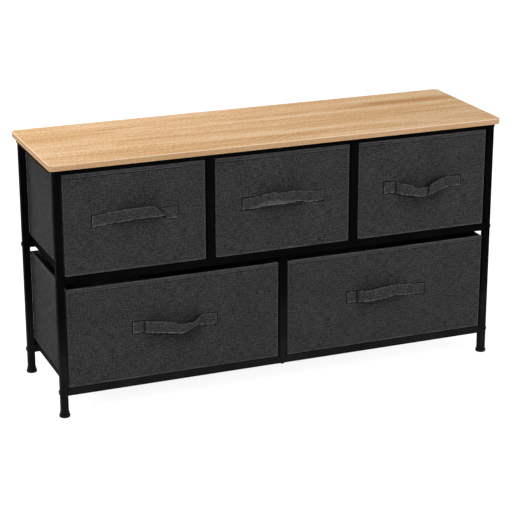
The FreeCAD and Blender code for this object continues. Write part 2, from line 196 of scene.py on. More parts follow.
# Points of half the section, by their distance inside the edge: welt, edge, seam, box and middle.
HALF_SECTION = (
    *(-WELT, -RISER, 0.0, 0.3 * MM, 0.8 * MM),
    *(EDGE_SEAM - 0.6 * MM, EDGE_SEAM, EDGE_SEAM + 0.7 * MM),
    *(BOX_INSET - 0.8 * MM, BOX_INSET, BOX_INSET + 0.8 * MM, 8.5 * MM),
)
# From this many millimetres out, the strap no longer follows the bulge of the front.
FREE_OUT = 6.0

# How each strap hangs, in millimetres from its middle: along, up and out from the drawer's
# front, first for a point of its upper edge and then for the point below it on its lower edge.
STRAPS = {
    "upper_left": (
        ((-90.5, 12.4, 0), (-90.5, -11.4, 0)),
        ((-64, 15.4, 0), (-64, -8.6, 0)),
        ((-56, 17, 3), (-56, -7.2, 3)),
        ((-30, 20, 7.5), (-31, -4.6, 7)),
        ((2.5, 21.5, 9.5), (10, -2.4, 8.5)),
        ((35, 22, 11), (60.5, -2.5, 7)),
        ((39, 20, 9), (63, -4.5, 4.5)),
        ((45, 14.5, 3.5), (64, -8, 2)),
        ((56, 12.6, 0), (65, -11.3, 0)),
        ((90.5, 12.2, 0), (90.5, -11.3, 0)),
    ),
    "upper_middle": (
        ((-91, 12, 0), (-91, -12, 0)),
        ((-61, 12.4, 0), (-61, -11.5, 0)),
        ((-58.5, 13.5, 4), (-58, -9.8, 3.5)),
        ((-51, 17, 8), (-51, -7.2, 7)),
        ((-28, 20.2, 9.5), (-33.5, -5.2, 9)),
        ((-4.5, 17, 7.5), (3, -6.2, 9)),
        ((17.5, 19.2, 9), (31.5, -4.6, 8.5)),
        ((40, 15.5, 5), (48, -9.5, 4)),
        ((62, 11.8, 0), (57, -12, 0)),
        ((91, 10.7, 0), (91, -12.2, 0)),
    ),
    "upper_right": (
        ((-91, 10.8, 0), (-91, -14.2, 0)),
        ((-62, 9.4, 0), (-62, -14.8, 0)),
        ((-61.5, 9.2, 4), (-61, -15, 4)),
        ((-56, 7.5, 8.5), (-57, -16.5, 8.5)),
        ((-34, 1.4, 9.5), (-35.5, -21.3, 12)),
        ((-8.5, -8.6, 7), (-4.5, -26.3, 13.5)),
        ((7, -8.2, 8), (2.5, -26.5, 13.5)),
        ((11.5, -5.5, 10), (6.5, -26, 12.5)),
        ((32.5, 6, 11), (23.5, -21, 11)),
        ((55, 10.3, 7), (56, -14, 6)),
        ((63.5, 8.8, 0), (63.5, -14.8, 0)),
        ((91, 7.7, 0), (91, -15, 0)),
    ),
    "lower_left": (
        ((-92, 14.6, 0), (-92, -9.8, 0)),
        ((-65.5, 14, 0), (-65.5, -8.8, 0)),
        ((-65, 14.6, 4), (-65, -9.6, 4)),
        ((-61, 15, 8), (-61, -10, 8)),
        ((-31, 11, 10), (-31, -13.3, 12)),
        ((-10.5, 6.5, 7.5), (-8, -17, 13)),
        ((14, -1.6, 6), (9, -19.7, 13)),
        ((38, 1.5, 10), (24, -17.1, 12)),
        ((56, 13.5, 7), (47.5, -6.5, 9.5)),
        ((64, 13, 1.5), (60.5, -12, 2.5)),
        ((67, 11.6, 0), (67, -13.2, 0)),
        ((92, 11.3, 0), (92, -13.7, 0)),
    ),
    "lower_right": (
        ((-92, 15, 0), (-92, -10.2, 0)),
        ((-67.5, 14.2, 0), (-67.5, -9.9, 0)),
        ((-67.5, 16, 4.5), (-67.5, -8.9, 4.5)),
        ((-63.5, 16.6, 8.5), (-63.5, -9, 8.5)),
        ((-41, 15.6, 10.5), (-34, -8.5, 12)),
        ((-15, 18.5, 10), (-9.5, -7.6, 11)),
        ((17.5, 19.3, 7.5), (17.5, -5.2, 7.5)),
        ((48, 16, 3.5), (48, -8.8, 3.5)),
        ((63, 13.5, 0), (63, -10.9, 0)),
        ((91.5, 11.8, 0), (91.5, -11.5, 0)),
    ),
}

# Painted shadow in creases across each strap: number of the station, reach to both sides, and depth.
CREASE_SHADOWS = {
    "upper_left": ((7, 9 * MM, 2.2),),
    "upper_middle": (),
    "upper_right": ((1, 3.5 * MM, 2.0), (7, 2.4 * MM, 2.4)),
    "lower_left": ((1, 3.5 * MM, 2.4),),
    "lower_right": ((1, 5 * MM, 3.0),),
}
# A strap's lower edge folded forward: station in the middle, half length, width and slope.
PLEATS = {"upper_middle": (4, 58 * MM, 10 * MM, 0.5)}
NO_PLEAT = (0, 1.0, 0.0, 0.0)
# Painted highlight on the folded-forward strip of the pleat.
PLEAT_HIGHLIGHT = 0.6
# How plainly the outlines of the left and the right tab show: their lighter edges and the painted shadow
# of their welt.
TAB_MARKS = {"upper_left": (1.0, 0.25), "upper_right": (1.0, 0.6)}
PLAIN_MARKS = (1.0, 1.0)

# ---- colours, linear ----
WOOD_DARK = (0.425, 0.22, 0.088, 1.0)
WOOD_MIDDLE = (0.585, 0.354, 0.164, 1.0)
WOOD_LIGHT = (0.69, 0.49, 0.31, 1.0)
WOOD_ARRIS_HIGHLIGHT = (0.8, 0.62, 0.44, 1.0)
WOOD_PORE = (0.24, 0.125, 0.055, 1.0)
WOOD_EDGE_BAND_SHADE = (0.45, 0.265, 0.14, 1.0)
FABRIC_DARK = (0.0095, 0.0095, 0.0095, 1.0)
FABRIC_LIGHT = (0.104, 0.104, 0.105, 1.0)
STRAP_DARK = (0.0085, 0.0085, 0.0085, 1.0)
STRAP_LIGHT = (0.111, 0.11, 0.109, 1.0)
THREAD_COLOUR = (0.06, 0.059, 0.057, 1.0)
FLOOR_REFLECTION_GREY = (0.0135, 0.0135, 0.0135, 1.0)
STEEL_BLACK = (0.0028, 0.0028, 0.0029, 1.0)
PLASTIC_BLACK = (0.004, 0.004, 0.0043, 1.0)
OXIDE_BLACK = (0.004, 0.004, 0.0043, 1.0)
ZINC = (0.55, 0.56, 0.56, 1.0)
BOARD_BROWN = (0.2, 0.135, 0.085, 1.0)

# Painted reflection of the floor: the frame is lighter up to the first height, and plain from the second
# on.
FLOOR_REFLECTION_HEIGHTS = (0.08, 0.24)

# ---- cloth ----
FABRIC_PITCH = 1.15 * MM
STRAP_PITCH = 1 * MM
# The cloth of the side walls is laid at this share of its length, which makes its grain coarser.
SIDE_CUT = 0.45
# Weight of each pattern in the tone, the range of tones, and the curve from dark to light.
CLOTH_TONE = {
    "grain": 1.5,
    "upright": 0.2,
    "level": 0.24,
    "slub": 0.2,
    "weave": 0.1,
    "cloud": 0.07,
}
# Weight in the tone of the cloth's painted light and shade with wear.
SHADE_AND_WEAR_TONE = 0.2
CLOTH_RANGE = (0.91, 1.47)
CLOTH_CURVE = 1.6

# ---- oak figure ----
# Streaks of the grain: scale along it and across it, detail, and weight in the tone.
GRAIN = {
    "wide": (1.1, 22.0, 3.0, 0.6),
    "middle": (2.6, 68.0, 3.0, 0.5),
    "fine": (10.0, 220.0, 3.0, 0.34),
    "hair": (40.0, 900.0, 2.0, 0.24),
    "fleck": (210.0, 130.0, 3.0, 0.8),
}
GRAIN_BEND = 0.03
PORE = (75.0, 1700.0, 1.0)
SAW_LIGHT = 0.34
ARCH_DARK = -0.42
TONE_SHIFT = 0.685
TONES = ((0.3, WOOD_DARK), (0.57, WOOD_MIDDLE), (0.73, WOOD_LIGHT))
# Soft dark streaks along the grain: middle x, half length, y, half width and depth of tone.
STREAKS = (
    (0.38, 0.2, 0.072, 0.026, 0.34),
    (0.42, 0.12, -0.024, 0.006, 0.2),
    (0.47, 0.06, -0.12, 0.006, 0.2),
    (-0.27, 0.12, 0.08, 0.009, 0.12),
    (-0.14, 0.23, -0.027, 0.01, 0.12),
    (-0.28, 0.08, -0.113, 0.006, 0.12),
)
ARCH_MIDDLE = (0.0, -0.113)
ARCH_HALF_LENGTH = 0.14
ARCH_HALF_WIDTH = 0.016
ARCH_CROWN_Y = -0.092
ARCH_PITCH = 0.031
ARCH_BEND = 60.0
SAW_PITCH = 5.2 * MM
# Painted shade, darker at the left end: the board lightens from left to right, between these places.
SHADE_RAMP = (-0.5, 0.3)
SHADE_RAMP_BY = 0.05
# The board's edge, by the distance below its top: the arris with its painted highlight, the dark band
# (the edge band's colour, partly painted shade) and the light foot.
ARRIS = (1 * MM, 2 * MM)
BAND_TOP = (1.2 * MM, 2.4 * MM)
BAND_FOOT = (9.5 * MM, 11.2 * MM)
EDGE_FOOT = (10.5 * MM, 11.4 * MM)


# ---- node helpers ----
NOISE_RANGE = (0.3, 0.7)


class Graph:
    """Short calls that build a node tree."""

    def __init__(self, tree):
        self.tree = tree

    def set(self, node, key, value):
        if isinstance(value, bpy.types.NodeSocket):
            self.tree.links.new(value, node.inputs[key])
        else:
            node.inputs[key].default_value = value

    def add(self, kind, inputs, **settings):
        node = self.tree.nodes.new("ShaderNode" + kind)
        for key, value in settings.items():
            setattr(node, key, value)
        for key, value in inputs.items():
            self.set(node, key, value)
        return node

    def math(self, operation, *values):
        return self.add("Math", dict(enumerate(values)), operation=operation).outputs[0]

    def times(self, a, b):
        return self.math("MULTIPLY", a, b)

    def sine(self, value, period):
        return self.math("SINE", self.times(value, 2 * math.pi / period))

    def total(self, *terms):
        """Sum of (socket, weight) terms."""
        result = 0.0
        for socket, weight in terms:
            result = self.math("MULTIPLY_ADD", socket, weight, result)
        return result

    def place(self):
        return self.add("TexCoord", {}).outputs["Object"]

    def cloth(self):
        """Along and across the cloth at this spot, and its painted light and shade with wear."""
        return self.split(self.add("Attribute", {}, attribute_name="cloth").outputs["Vector"])

    def split(self, vector):
        node = self.add("SeparateXYZ", {"Vector": vector})
        return [node.outputs[i] for i in range(3)]

    def blend(self, factor, a, b):
        """Value between a and b."""
        return self.add("Mix", {0: factor, 2: a, 3: b}).outputs[0]

    def join(self, x, y, z=0.0):
        return self.add("CombineXYZ", {"X": x, "Y": y, "Z": z}).outputs[0]

    def scaled(self, vector, scale):
        return self.add("Mapping", {"Vector": vector, "Scale": scale}).outputs[0]

    def noise(self, vector, scale, detail=2.0, roughness=0.5, distortion=0.0):
        inputs = {"Vector": vector, "Scale": scale, "Detail": detail, "Roughness": roughness}
        inputs["Distortion"] = distortion
        return self.add("TexNoise", inputs).outputs["Fac"]

    def drawn_noise(self, u, v, scale_u, scale_v, detail=2.0, roughness=0.5, layer=0.0):
        """Noise over a sheet, with its own scale in each direction."""
        spot = self.join(self.times(u, scale_u), self.times(v, scale_v), layer)
        return self.noise(spot, 1.0, detail, roughness)

    def fit(self, value, low, high, out_low=0.0, out_high=1.0):
        """Value moved from one range to another, eased at its ends and kept inside it."""
        inputs = {"Value": value, 1: low, 2: high, 3: out_low, 4: out_high}
        return self.add("MapRange", inputs, interpolation_type="SMOOTHSTEP").outputs[0]

    def vary(self, pattern, low, high):
        """Value from low to high, led by a noise that lies mostly in NOISE_RANGE."""
        return self.fit(pattern, *NOISE_RANGE, low, high)

    def ramp(self, value, *stops):
        """Colour from (position, colour) stops."""
        node = self.add("ValToRGB", {"Fac": value})
        elements = node.color_ramp.elements
        while len(elements) < len(stops):
            elements.new(1.0)
        for element, (position, colour) in zip(elements, stops):
            element.position = position
            element.color = colour
        return node.outputs["Color"]

    def mix(self, factor, a, b, blend="MIX"):
        node = self.add("Mix", {}, data_type="RGBA", blend_type=blend)
        self.set(node, 0, factor)
        self.set(node, 6, a)
        self.set(node, 7, b)
        return node.outputs[2]

    def tint(self, colour, value):
        """Colour times a value."""
        return self.mix(1.0, colour, self.join(value, value, value), blend="MULTIPLY")


class Finish(Graph):
    """The node tree of one material, round its shader."""

    def __init__(self, name):
        self.material = bpy.data.materials.new(name)
        self.material.use_nodes = True
        super().__init__(self.material.node_tree)
        self.shader = self.tree.nodes["Principled BSDF"]

    def bump(self, height, distance, strength):
        inputs = {"Height": height, "Distance": distance, "Strength": strength}
        self.set(self.shader, "Normal", self.add("Bump", inputs).outputs["Normal"])

    def finish(self, **sockets):
        """Sets sockets of the shader, named in lower case, and returns the material."""
        for key, value in sockets.items():
            self.set(self.shader, key.replace("_", " ").title().replace("Ior", "IOR"), value)
        return self.material


# ---- materials ----
def oak_laminate():
    """Oak-look foil: soft streaks, an arched figure, flecks, pores and saw marks, painted shade towards
    the left end, and a banded edge with a painted highlight on its arris.
    """
    g = Finish("oak_laminate")
    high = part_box("top_board")[1]
    x, y, z = g.split(g.place())
    drop = g.math("SUBTRACT", high.z, z)
    end = g.fit(g.math("ABSOLUTE", x), high.x - 0.7 * MM, high.x - 0.3 * MM)
    along = g.blend(end, x, y)
    across = g.blend(end, g.math("SUBTRACT", y, drop), g.times(drop, 3.0))
    slow = g.drawn_noise(along, across, 2.2, 8.0)
    bent = g.math("MULTIPLY_ADD", slow, GRAIN_BEND, g.math("SUBTRACT", across, GRAIN_BEND / 2))
    grain = {name: streak_noise(g, along, bent, *scales) for name, (*scales, _) in GRAIN.items()}
    fine = grain["fine"]
    saw = saw_marks(g, along, across)
    arches = arched_figure(g, x, across, fine)
    terms = [(grain[name], weight) for name, (*_, weight) in GRAIN.items()]
    terms += [(saw, SAW_LIGHT), (arches, ARCH_DARK)]
    terms += [(dark_streak(g, x, bent, *streak), -depth) for *streak, depth in STREAKS]
    # Painted shade: darker towards the left end.
    terms.append((g.fit(x, *SHADE_RAMP), SHADE_RAMP_BY))
    colour = g.ramp(g.math("SUBTRACT", g.total(*terms), TONE_SHIFT), *TONES)
    pore = g.fit(streak_noise(g, along, bent, *PORE), 0.66, 0.74)
    colour = g.mix(g.times(pore, 0.3), colour, WOOD_PORE)
    colour = banded_edge(g, colour, high, x, y, drop, end)
    g.bump(g.total((fine, 0.5), (grain["hair"], 0.4), (pore, -0.5), (saw, 0.4)), 0.18 * MM, 0.5)
    return g.finish(base_color=colour, roughness=g.vary(fine, 0.5, 0.62), specular_ior_level=0.04)


def streak_noise(g, along, across, long_scale, cross_scale, detail):
    """Noise drawn out along the grain."""
    return g.drawn_noise(along, across, long_scale, cross_scale, detail, 0.6, cross_scale)


def window(g, value, middle, half):
    """1 near the middle, 0 from half a width away on."""
    return g.fit(g.math("ABSOLUTE", g.math("SUBTRACT", value, middle)), half * 0.2, half, 1.0, 0.0)


def dark_streak(g, x, across, middle, half_length, y, half_width):
    """1 along the middle of one soft streak."""
    return g.times(window(g, x, middle, half_length), window(g, across, y, half_width))


def arched_figure(g, x, across, fine):
    """Flat-sawn arches in one stretch of the board: 1 on their dark lines."""
    off = g.math("SUBTRACT", across, ARCH_CROWN_Y)
    reach = g.total((g.times(off, off), ARCH_BEND), (fine, 0.03), (x, 1.0))
    rings = g.fit(g.sine(reach, ARCH_PITCH), 0.1, 0.9)
    stretch = window(g, x, ARCH_MIDDLE[0], ARCH_HALF_LENGTH)
    beside = window(g, across, ARCH_MIDDLE[1], ARCH_HALF_WIDTH)
    return g.times(rings, g.times(stretch, beside))


def saw_marks(g, along, across):
    """Faint light lines across the grain, in patches."""
    wander = g.drawn_noise(along, across, 30.0, 30.0, layer=6.0)
    lines = g.fit(g.sine(g.math("MULTIPLY_ADD", wander, 6 * MM, along), SAW_PITCH), 0.0, 1.0)
    patch = g.drawn_noise(along, across, 8.0, 30.0, layer=4.4)
    return g.times(lines, g.fit(patch, 0.57, 0.7))


def banded_edge(g, colour, high, x, y, drop, end):
    """Painted highlight on the arris, a darker band below it (the edge band's colour, partly painted
    shade, deeper on the ends) and a light line along the bottom of the edge.
    """
    past_x = g.math("SUBTRACT", g.math("ABSOLUTE", x), high.x)
    past_y = g.math("SUBTRACT", g.math("ABSOLUTE", y), high.y)
    past = g.math("MAXIMUM", past_x, past_y)
    side = g.fit(past, -1.6 * MM, -0.3 * MM)
    arris = g.times(side, g.fit(drop, *ARRIS, 1.0, 0.0))
    band = g.times(g.fit(drop, *BAND_TOP), g.fit(drop, *BAND_FOOT, 1.0, 0.0))
    band = g.times(band, g.math("MULTIPLY_ADD", end, 0.25, 0.7))
    foot = g.fit(drop, *EDGE_FOOT)
    # Edge band's colour, partly painted shade.
    colour = g.mix(band, colour, WOOD_EDGE_BAND_SHADE)
    colour = g.mix(g.times(foot, 0.3), colour, WOOD_LIGHT)
    # Painted highlight along the arris.
    return g.mix(g.times(arris, 0.9), colour, WOOD_ARRIS_HIGHLIGHT)


def linen(name, dark, light, pitch):
    """Linen-look cloth: plain weave with uneven threads and slubs, and a mottled tone."""
    g = Finish(name)
    u, v, painted_light_and_wear = g.cloth()
    sheet = g.join(u, v)
    drift = g.noise(sheet, 160.0, 2.0)
    warp = g.sine(g.math("MULTIPLY_ADD", drift, pitch * 0.8, u), 2 * pitch)
    weft = g.sine(g.math("MULTIPLY_ADD", drift, -pitch * 0.8, v), 2 * pitch)
    over = g.fit(g.times(warp, weft), -0.2, 0.2)
    weave = g.blend(over, thread_top(g, weft, warp), thread_top(g, warp, weft))
    upright = g.drawn_noise(u, v, 520.0, 60.0, roughness=0.6)
    level = g.drawn_noise(u, v, 60.0, 430.0, roughness=0.6, layer=5.0)
    slub = g.blend(over, level, upright)
    grain = g.noise(sheet, 500.0, 3.0, 0.8)
    cloud = g.noise(sheet, 16.0, 3.0)
    patterns = (grain, upright, level, slub, weave, cloud)
    tone = g.total(*zip(patterns, CLOTH_TONE.values()), (painted_light_and_wear, SHADE_AND_WEAR_TONE))
    colour = g.mix(g.math("POWER", g.fit(tone, *CLOTH_RANGE), CLOTH_CURVE), dark, light)
    # Darker below -0.6 (painted shade) and lighter above 0.3 (painted highlight and rubbed wear).
    shade = g.times(g.fit(painted_light_and_wear, -3.0, -0.6, 0.15, 1.0), g.fit(painted_light_and_wear, 0.3, 1.6, 1.0, 1.3))
    g.bump(g.total((weave, 0.8), (slub, 0.7), (grain, 0.5)), 0.35 * MM, 0.7)
    return g.finish(
        base_color=g.tint(colour, shade),
        roughness=g.fit(grain, 0.2, 0.8, 0.88, 0.98),
        specular_ior_level=0.01,
        sheen_weight=0.01,
        sheen_roughness=0.5,
    )


def thread_top(g, over, under):
    """Height of the threads on top: round across themselves, and lower near their ends."""
    across = g.math("POWER", g.math("ABSOLUTE", over), 0.8)
    return g.times(across, g.math("POWER", g.math("ABSOLUTE", under), 0.3))


def powder_coat(name, colour, level):
    """Satin powder coat with a fine orange peel and a few dull patches, and painted reflection of the
    floor, lighter towards the floor.
    """
    g = Finish(name)
    place = g.place()
    peel = g.noise(place, 900.0, 2.0)
    patch = g.noise(place, 18.0, 3.0)
    g.bump(peel, 0.12 * MM, 0.5)
    shade = g.tint(colour, g.vary(g.total((peel, 0.5), (patch, 0.5)), 0.75, 1.35))
    # Painted reflection of the floor on the lower frame.
    low_down = g.fit(g.split(place)[2], *FLOOR_REFLECTION_HEIGHTS, 1.0, 0.0)
    shade = g.mix(g.times(low_down, g.vary(patch, 0.6, 1.0)), shade, FLOOR_REFLECTION_GREY)
    return g.finish(base_color=shade, roughness=g.vary(patch, 0.38, 0.52), specular_ior_level=level)


def moulded_plastic():
    """Black moulded plastic with a fine spark-eroded texture."""
    g = Finish("black_plastic")
    place = g.place()
    grit = g.noise(place, 1400.0, 3.0, 0.7)
    patch = g.noise(place, 60.0, 2.0)
    g.bump(grit, 0.1 * MM, 0.6)
    shade = g.tint(PLASTIC_BLACK, g.vary(patch, 0.8, 1.3))
    return g.finish(base_color=shade, roughness=g.vary(patch, 0.42, 0.58), specular_ior_level=0.08)


def plated_steel():
    """Zinc-plated steel with turning marks."""
    g = Finish("zinc_steel")
    place = g.place()
    marks = g.noise(g.scaled(place, (1.0, 1.0, 6.0)), 700.0, 3.0, 0.7)
    stain = g.noise(place, 90.0, 3.0)
    g.bump(marks, 0.06 * MM, 0.5)
    shade = g.tint(ZINC, g.vary(stain, 0.75, 1.2))
    return g.finish(base_color=shade, metallic=1.0, roughness=g.vary(marks, 0.28, 0.42))


def fibreboard():
    """Thin pressed board with fibres and dark flecks."""
    g = Finish("fibreboard")
    place = g.place()
    fibre = g.noise(g.scaled(place, (1.0, 2.5, 1.0)), 260.0, 5.0, 0.7, 0.6)
    cloud = g.noise(place, 22.0, 3.0)
    fleck = g.fit(g.noise(place, 520.0, 1.0), 0.68, 0.76)
    shade = g.tint(BOARD_BROWN, g.vary(g.total((fibre, 0.7), (cloud, 0.3)), 0.7, 1.35))
    shade = g.mix(g.times(fleck, 0.5), shade, WOOD_PORE)
    g.bump(fibre, 0.15 * MM, 0.6)
    return g.finish(base_color=shade, roughness=g.vary(fibre, 0.65, 0.85), specular_ior_level=0.25)


def sewing_thread():
    """Twisted sewing thread."""
    g = Finish("sewing_thread")
    place = g.place()
    twist = g.noise(place, 2600.0, 2.0)
    patch = g.noise(place, 240.0, 2.0)
    g.bump(twist, 0.1 * MM, 0.7)
    return g.finish(
        base_color=g.tint(THREAD_COLOUR, g.vary(g.total((twist, 0.5), (patch, 0.5)), 0.7, 1.4)),
        roughness=g.vary(patch, 0.6, 0.75),
        specular_ior_level=0.1,
        sheen_weight=0.1,
    )


def make_materials():
    """Each material by its slot in the record, and the thread of the stitches."""
    return {
        "oak_laminate": oak_laminate(),
        "black_frame": powder_coat("black_frame", STEEL_BLACK, 0.0015),
        "black_fastener": powder_coat("black_fastener", OXIDE_BLACK, 0.12),
        "zinc_steel": plated_steel(),
        "black_plastic": moulded_plastic(),
        "drawer_fabric": linen("drawer_fabric", FABRIC_DARK, FABRIC_LIGHT, FABRIC_PITCH),
        "strap_fabric": linen("strap_fabric", STRAP_DARK, STRAP_LIGHT, STRAP_PITCH),
        "fibreboard": fibreboard(),
        "thread": sewing_thread(),
    }


def dress_nodes(materials):
    """Every CAD node gets the material that the record names for it."""
    slots = {part["node"]: part["material_slot"] for part in frame["record"]["subparts"]}
    for name, node in frame["nodes"].items():
        for slot in node.material_slots:
            slot.link = "OBJECT"
            slot.material = materials[slots[name]]


# ---- meshes ----
def new_object(name, data):
    """Object with this data, in the scene."""
    made = bpy.data.objects.new(name, data)
    bpy.context.scene.collection.objects.link(made)
    return made


def make_piece(name, points, faces, material, cloth=None):
    """Smooth mesh. cloth has (along, across, painted light and shade with wear) for each corner of each
    face.
    """
    mesh = bpy.data.meshes.new(name)
    mesh.from_pydata(points, [], faces)
    if cloth:
        layer = mesh.attributes.new("cloth", "FLOAT_VECTOR", "CORNER")
        layer.data.foreach_set("vector", [value for corner in cloth for value in corner])
    mesh.polygons.foreach_set("use_smooth", [True] * len(faces))
    mesh.materials.append(material)
    return new_object(name, mesh)


def tube_faces(rings, count, first=0):
    """Faces of closed rings in a row, with a flat cap at each end, for points numbered from first."""
    faces = []
    for begin in range(first, first + (rings - 1) * count, count):
        for step in range(count):
            here, after = begin + step, begin + (step + 1) % count
            faces.append((here, after, after + count, here + count))
    last = first + (rings - 1) * count
    return faces + [tuple(reversed(range(first, first + count))), tuple(range(last, last + count))]


def loft(rows, cloth):
    """Points, faces and cloth corners of closed rings in a row, with a flat cap at each end.

    cloth has one more entry in each row than the ring has points, for the way back to the first.
    """
    points = [point for row in rows for point in row]
    faces = tube_faces(len(rows), len(rows[0]))
    corners = []
    for low, high in zip(cloth, cloth[1:]):
        for c in range(len(rows[0])):
            corners += [low[c], low[c + 1], high[c + 1], high[c]]
    for face in faces[-2:]:
        corners += [(points[i][0], points[i][1] + points[i][2], 0.0) for i in face]
    return points, faces, corners


def running(steps):
    """Running total of steps, from 0."""
    return [0.0, *itertools.accumulate(steps)]


def wave(*place):
    """Smooth noise, about -1 to 1."""
    return noise.noise(Vector(place))


def ease(value, low, high):
    """0 up to low, 1 from high on, smooth between them."""
    t = min(max((value - low) / (high - low), 0.0), 1.0)
    return t * t * (3 - 2 * t)


def hill(value, middle, width):
    """1 at the middle, falling to about 0 a width away."""
    return math.exp(-((2 * (value - middle) / width) ** 2))


def edge_wear_and_highlight(edge, inside):
    """Lightening of an edge by rubbed wear and painted highlight, this far inside it."""
    light, start, end = EDGE_WEAR_AND_HIGHLIGHT[edge]
    return light * (1 - ease(inside, start, end))


# ---- fabric covers ----
class Drawer:
    """One drawer's fabric box, with sizes read from its CAD node."""

    def __init__(self, name, number):
        self.name = name
        self.body = f"{name}_drawer"
        self.number = number
        self.low, self.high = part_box(f"{name}_drawer_cover")
        self.middle = (self.low + self.high) / 2
        self.half = (self.high - self.low) / 2
        self.height = self.high.z - self.low.z

    def puff(self, wall, along, up):
        """How far a wall's cloth stands out, this far along from its middle and up from its foot."""
        half = self.half.x if WALLS[wall].y else self.half.y
        fade = ease(half - abs(along), 0.0, PUFF_ENDS) * ease(up, 0.0, PUFF_FOOT)
        fade *= ease(self.height - up, *PUFF_RIM)
        seed = 11.0 * self.number + 3.0 * len(wall)
        bulge = PUFF_MEAN
        for layer, (turns_along, turns_up, share) in enumerate(PUFF_WAVES):
            bulge += share * wave(along * turns_along, up * turns_up, seed + 5.0 * layer)
        return PUFF[wall] * fade * bulge

    def stations(self):
        """Spots round the box, and the way round it.

        A spot is (wall, share of its flat stretch, angle in the corner after it, distance).
        """
        spots = []
        begin = 0.0
        for wall, normal in WALLS.items():
            half = self.half.x if normal.y else self.half.y
            for share in shares(half - CORNER):
                spots.append((wall, share, 0.0, begin + half + share * (half - CORNER)))
            for step in range(1, CORNER_STEPS):
                turn = step / CORNER_STEPS
                spots.append((wall, 1.0, turn * math.pi / 2, begin + 2 * half + CORNER * (2 * turn - 1)))
            begin += 2 * half
        return spots, begin

    def place(self, spot, inset):
        """Place of a spot in plan, this far inside the box, its outward direction and way along."""
        wall, share, angle, _ = spot
        normal = WALLS[wall]
        travel = Vector((-normal.y, normal.x, 0.0))
        long, deep = (self.half.x, self.half.y) if normal.y else (self.half.y, self.half.x)
        radius = max(CORNER - inset, LEAST_CORNER)
        flat = long - inset - radius
        outward = normal * math.cos(angle) + travel * math.sin(angle)
        start = self.middle + normal * (deep - inset - radius) + travel * (flat * share)
        return start + outward * radius, outward, flat * share

    def profile(self):
        """Rows from under the bottom, up the outside, over the rim and down the inside.

        Each is (inset, height, share of the puff it follows, painted light and shade: above 0 lighter,
        below 0 darker).
        """
        top = self.height
        # Painted highlight along the round at the bottom.
        rows = [(BOTTOM_RING, BASE_LIFT, 0.0, 0.0), (BOTTOM_ROUND, BASE_LIFT, 0.0, 0.3)]
        for step in range(1, BOTTOM_STEPS + 1):
            angle = math.pi / 2 * step / BOTTOM_STEPS
            rise = BOTTOM_ROUND * (1 - math.cos(angle))
            rows.append((BOTTOM_ROUND * (1 - math.sin(angle)), BASE_LIFT + rise, 0.2, 1.0))
        under_hem = top - HEM - HEM_GAP
        rows += [(0.0, up, 1.0, 0.0) for up in climb(BASE_LIFT + BOTTOM_ROUND, under_hem)[1:]]
        rows += hem_rows(top, 0.0, 1)
        reach = RIM_ROUND + HEM_PROUD
        for step in range(RIM_STEPS + 1):
            angle = math.pi * step / RIM_STEPS
            height = top - reach + reach * math.sin(angle)
            # Painted highlight along the rim.
            rows.append((RIM_ROUND - reach * math.cos(angle), height, 0.6 - 0.05 * step, 0.6))
        rows += reversed(hem_rows(top, WALL, -1))
        rows += [(WALL, up, 0.3, 0.0) for up in reversed(climb(BASE_SHEET + 2 * MM, under_hem))]
        rows.append((WALL + 0.5 * MM, BASE_SHEET + 0.5 * MM, 0.0, 0.0))
        rows.append((WALL + 2 * MM, BASE_SHEET, 0.0, 0.0))
        return rows

    def cover(self, material, thread):
        """The cover itself and the stitches of its hem."""
        spots, around = self.stations()
        across = cloth_across(spots, around)
        rows, cloth, seams = [], [], []
        travelled = 0.0
        before = None
        for inset, up, follow, painted_light_and_wear in self.profile():
            if before:
                travelled += math.dist(before, (inset, up))
            before = inset, up
            row = []
            for spot in spots:
                place, outward, along = self.place(spot, inset)
                stand = follow * self.puff(spot[0], along, up) + self.details(spot, up, inset)
                drop = RIM_DROP * ease(up, self.height - RIM_DROP_REACH, self.height) * self.slack(spot)
                shift = Vector((self.tuck(place, up), 0.0, up - self.half.z - drop))
                row.append((place + outward * stand + shift, outward))
            rows.append([place for place, _ in row])
            painted_shade_and_wear = [self.painted_shade_and_wear(spot, up, painted_light_and_wear) for spot in spots]
            cloth.append([(s, travelled, w) for s, w in zip(across, painted_shade_and_wear + painted_shade_and_wear[:1])])
            if abs(up - (self.height - HEM_STITCH)) < TINY:
                sign = 1 if inset < WALL / 2 else -1
                seams.append([(place, outward * sign) for place, outward in row + row[:1]])
        points, faces, corners = loft(rows, cloth)
        cover = make_piece(f"{self.name}_drawer_fabric_box", points, faces, material, corners)
        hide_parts(f"{self.name}_drawer_cover")
        self.ride(cover)
        self.sew("hem_stitches", seams, thread)

    def painted_shade_and_wear(self, spot, up, painted_light_and_wear):
        """Light (above 0) or dark (below 0): painted light and shade of the hem, edges lighter by rubbed
        wear and painted highlight, painted shade round the strap and in the rear corners.
        """
        wall, share, angle, distance = spot
        # Painted shade in the rear corners; on the back and side walls the hem's painted light and
        # shade, weaker.
        if wall in ("back", "right"):
            return painted_light_and_wear * PLAIN_HEM_SHADE - (REAR_CORNER_SHADE if angle else 0.0)
        if wall == "left" and not angle:
            return painted_light_and_wear * PLAIN_HEM_SHADE
        patchy = 0.75 + 0.6 * wave(distance * 22.0, up * 300.0, self.number * 5.0)
        if painted_light_and_wear < 0:
            return painted_light_and_wear * patchy
        side = edge_wear_and_highlight("cover_side", (self.half.x - CORNER) * (1 - abs(share)))
        return max(painted_light_and_wear * patchy, side, edge_wear_and_highlight("cover_foot", up)) - self.painted_halo_shade(share * self.half.x, up)

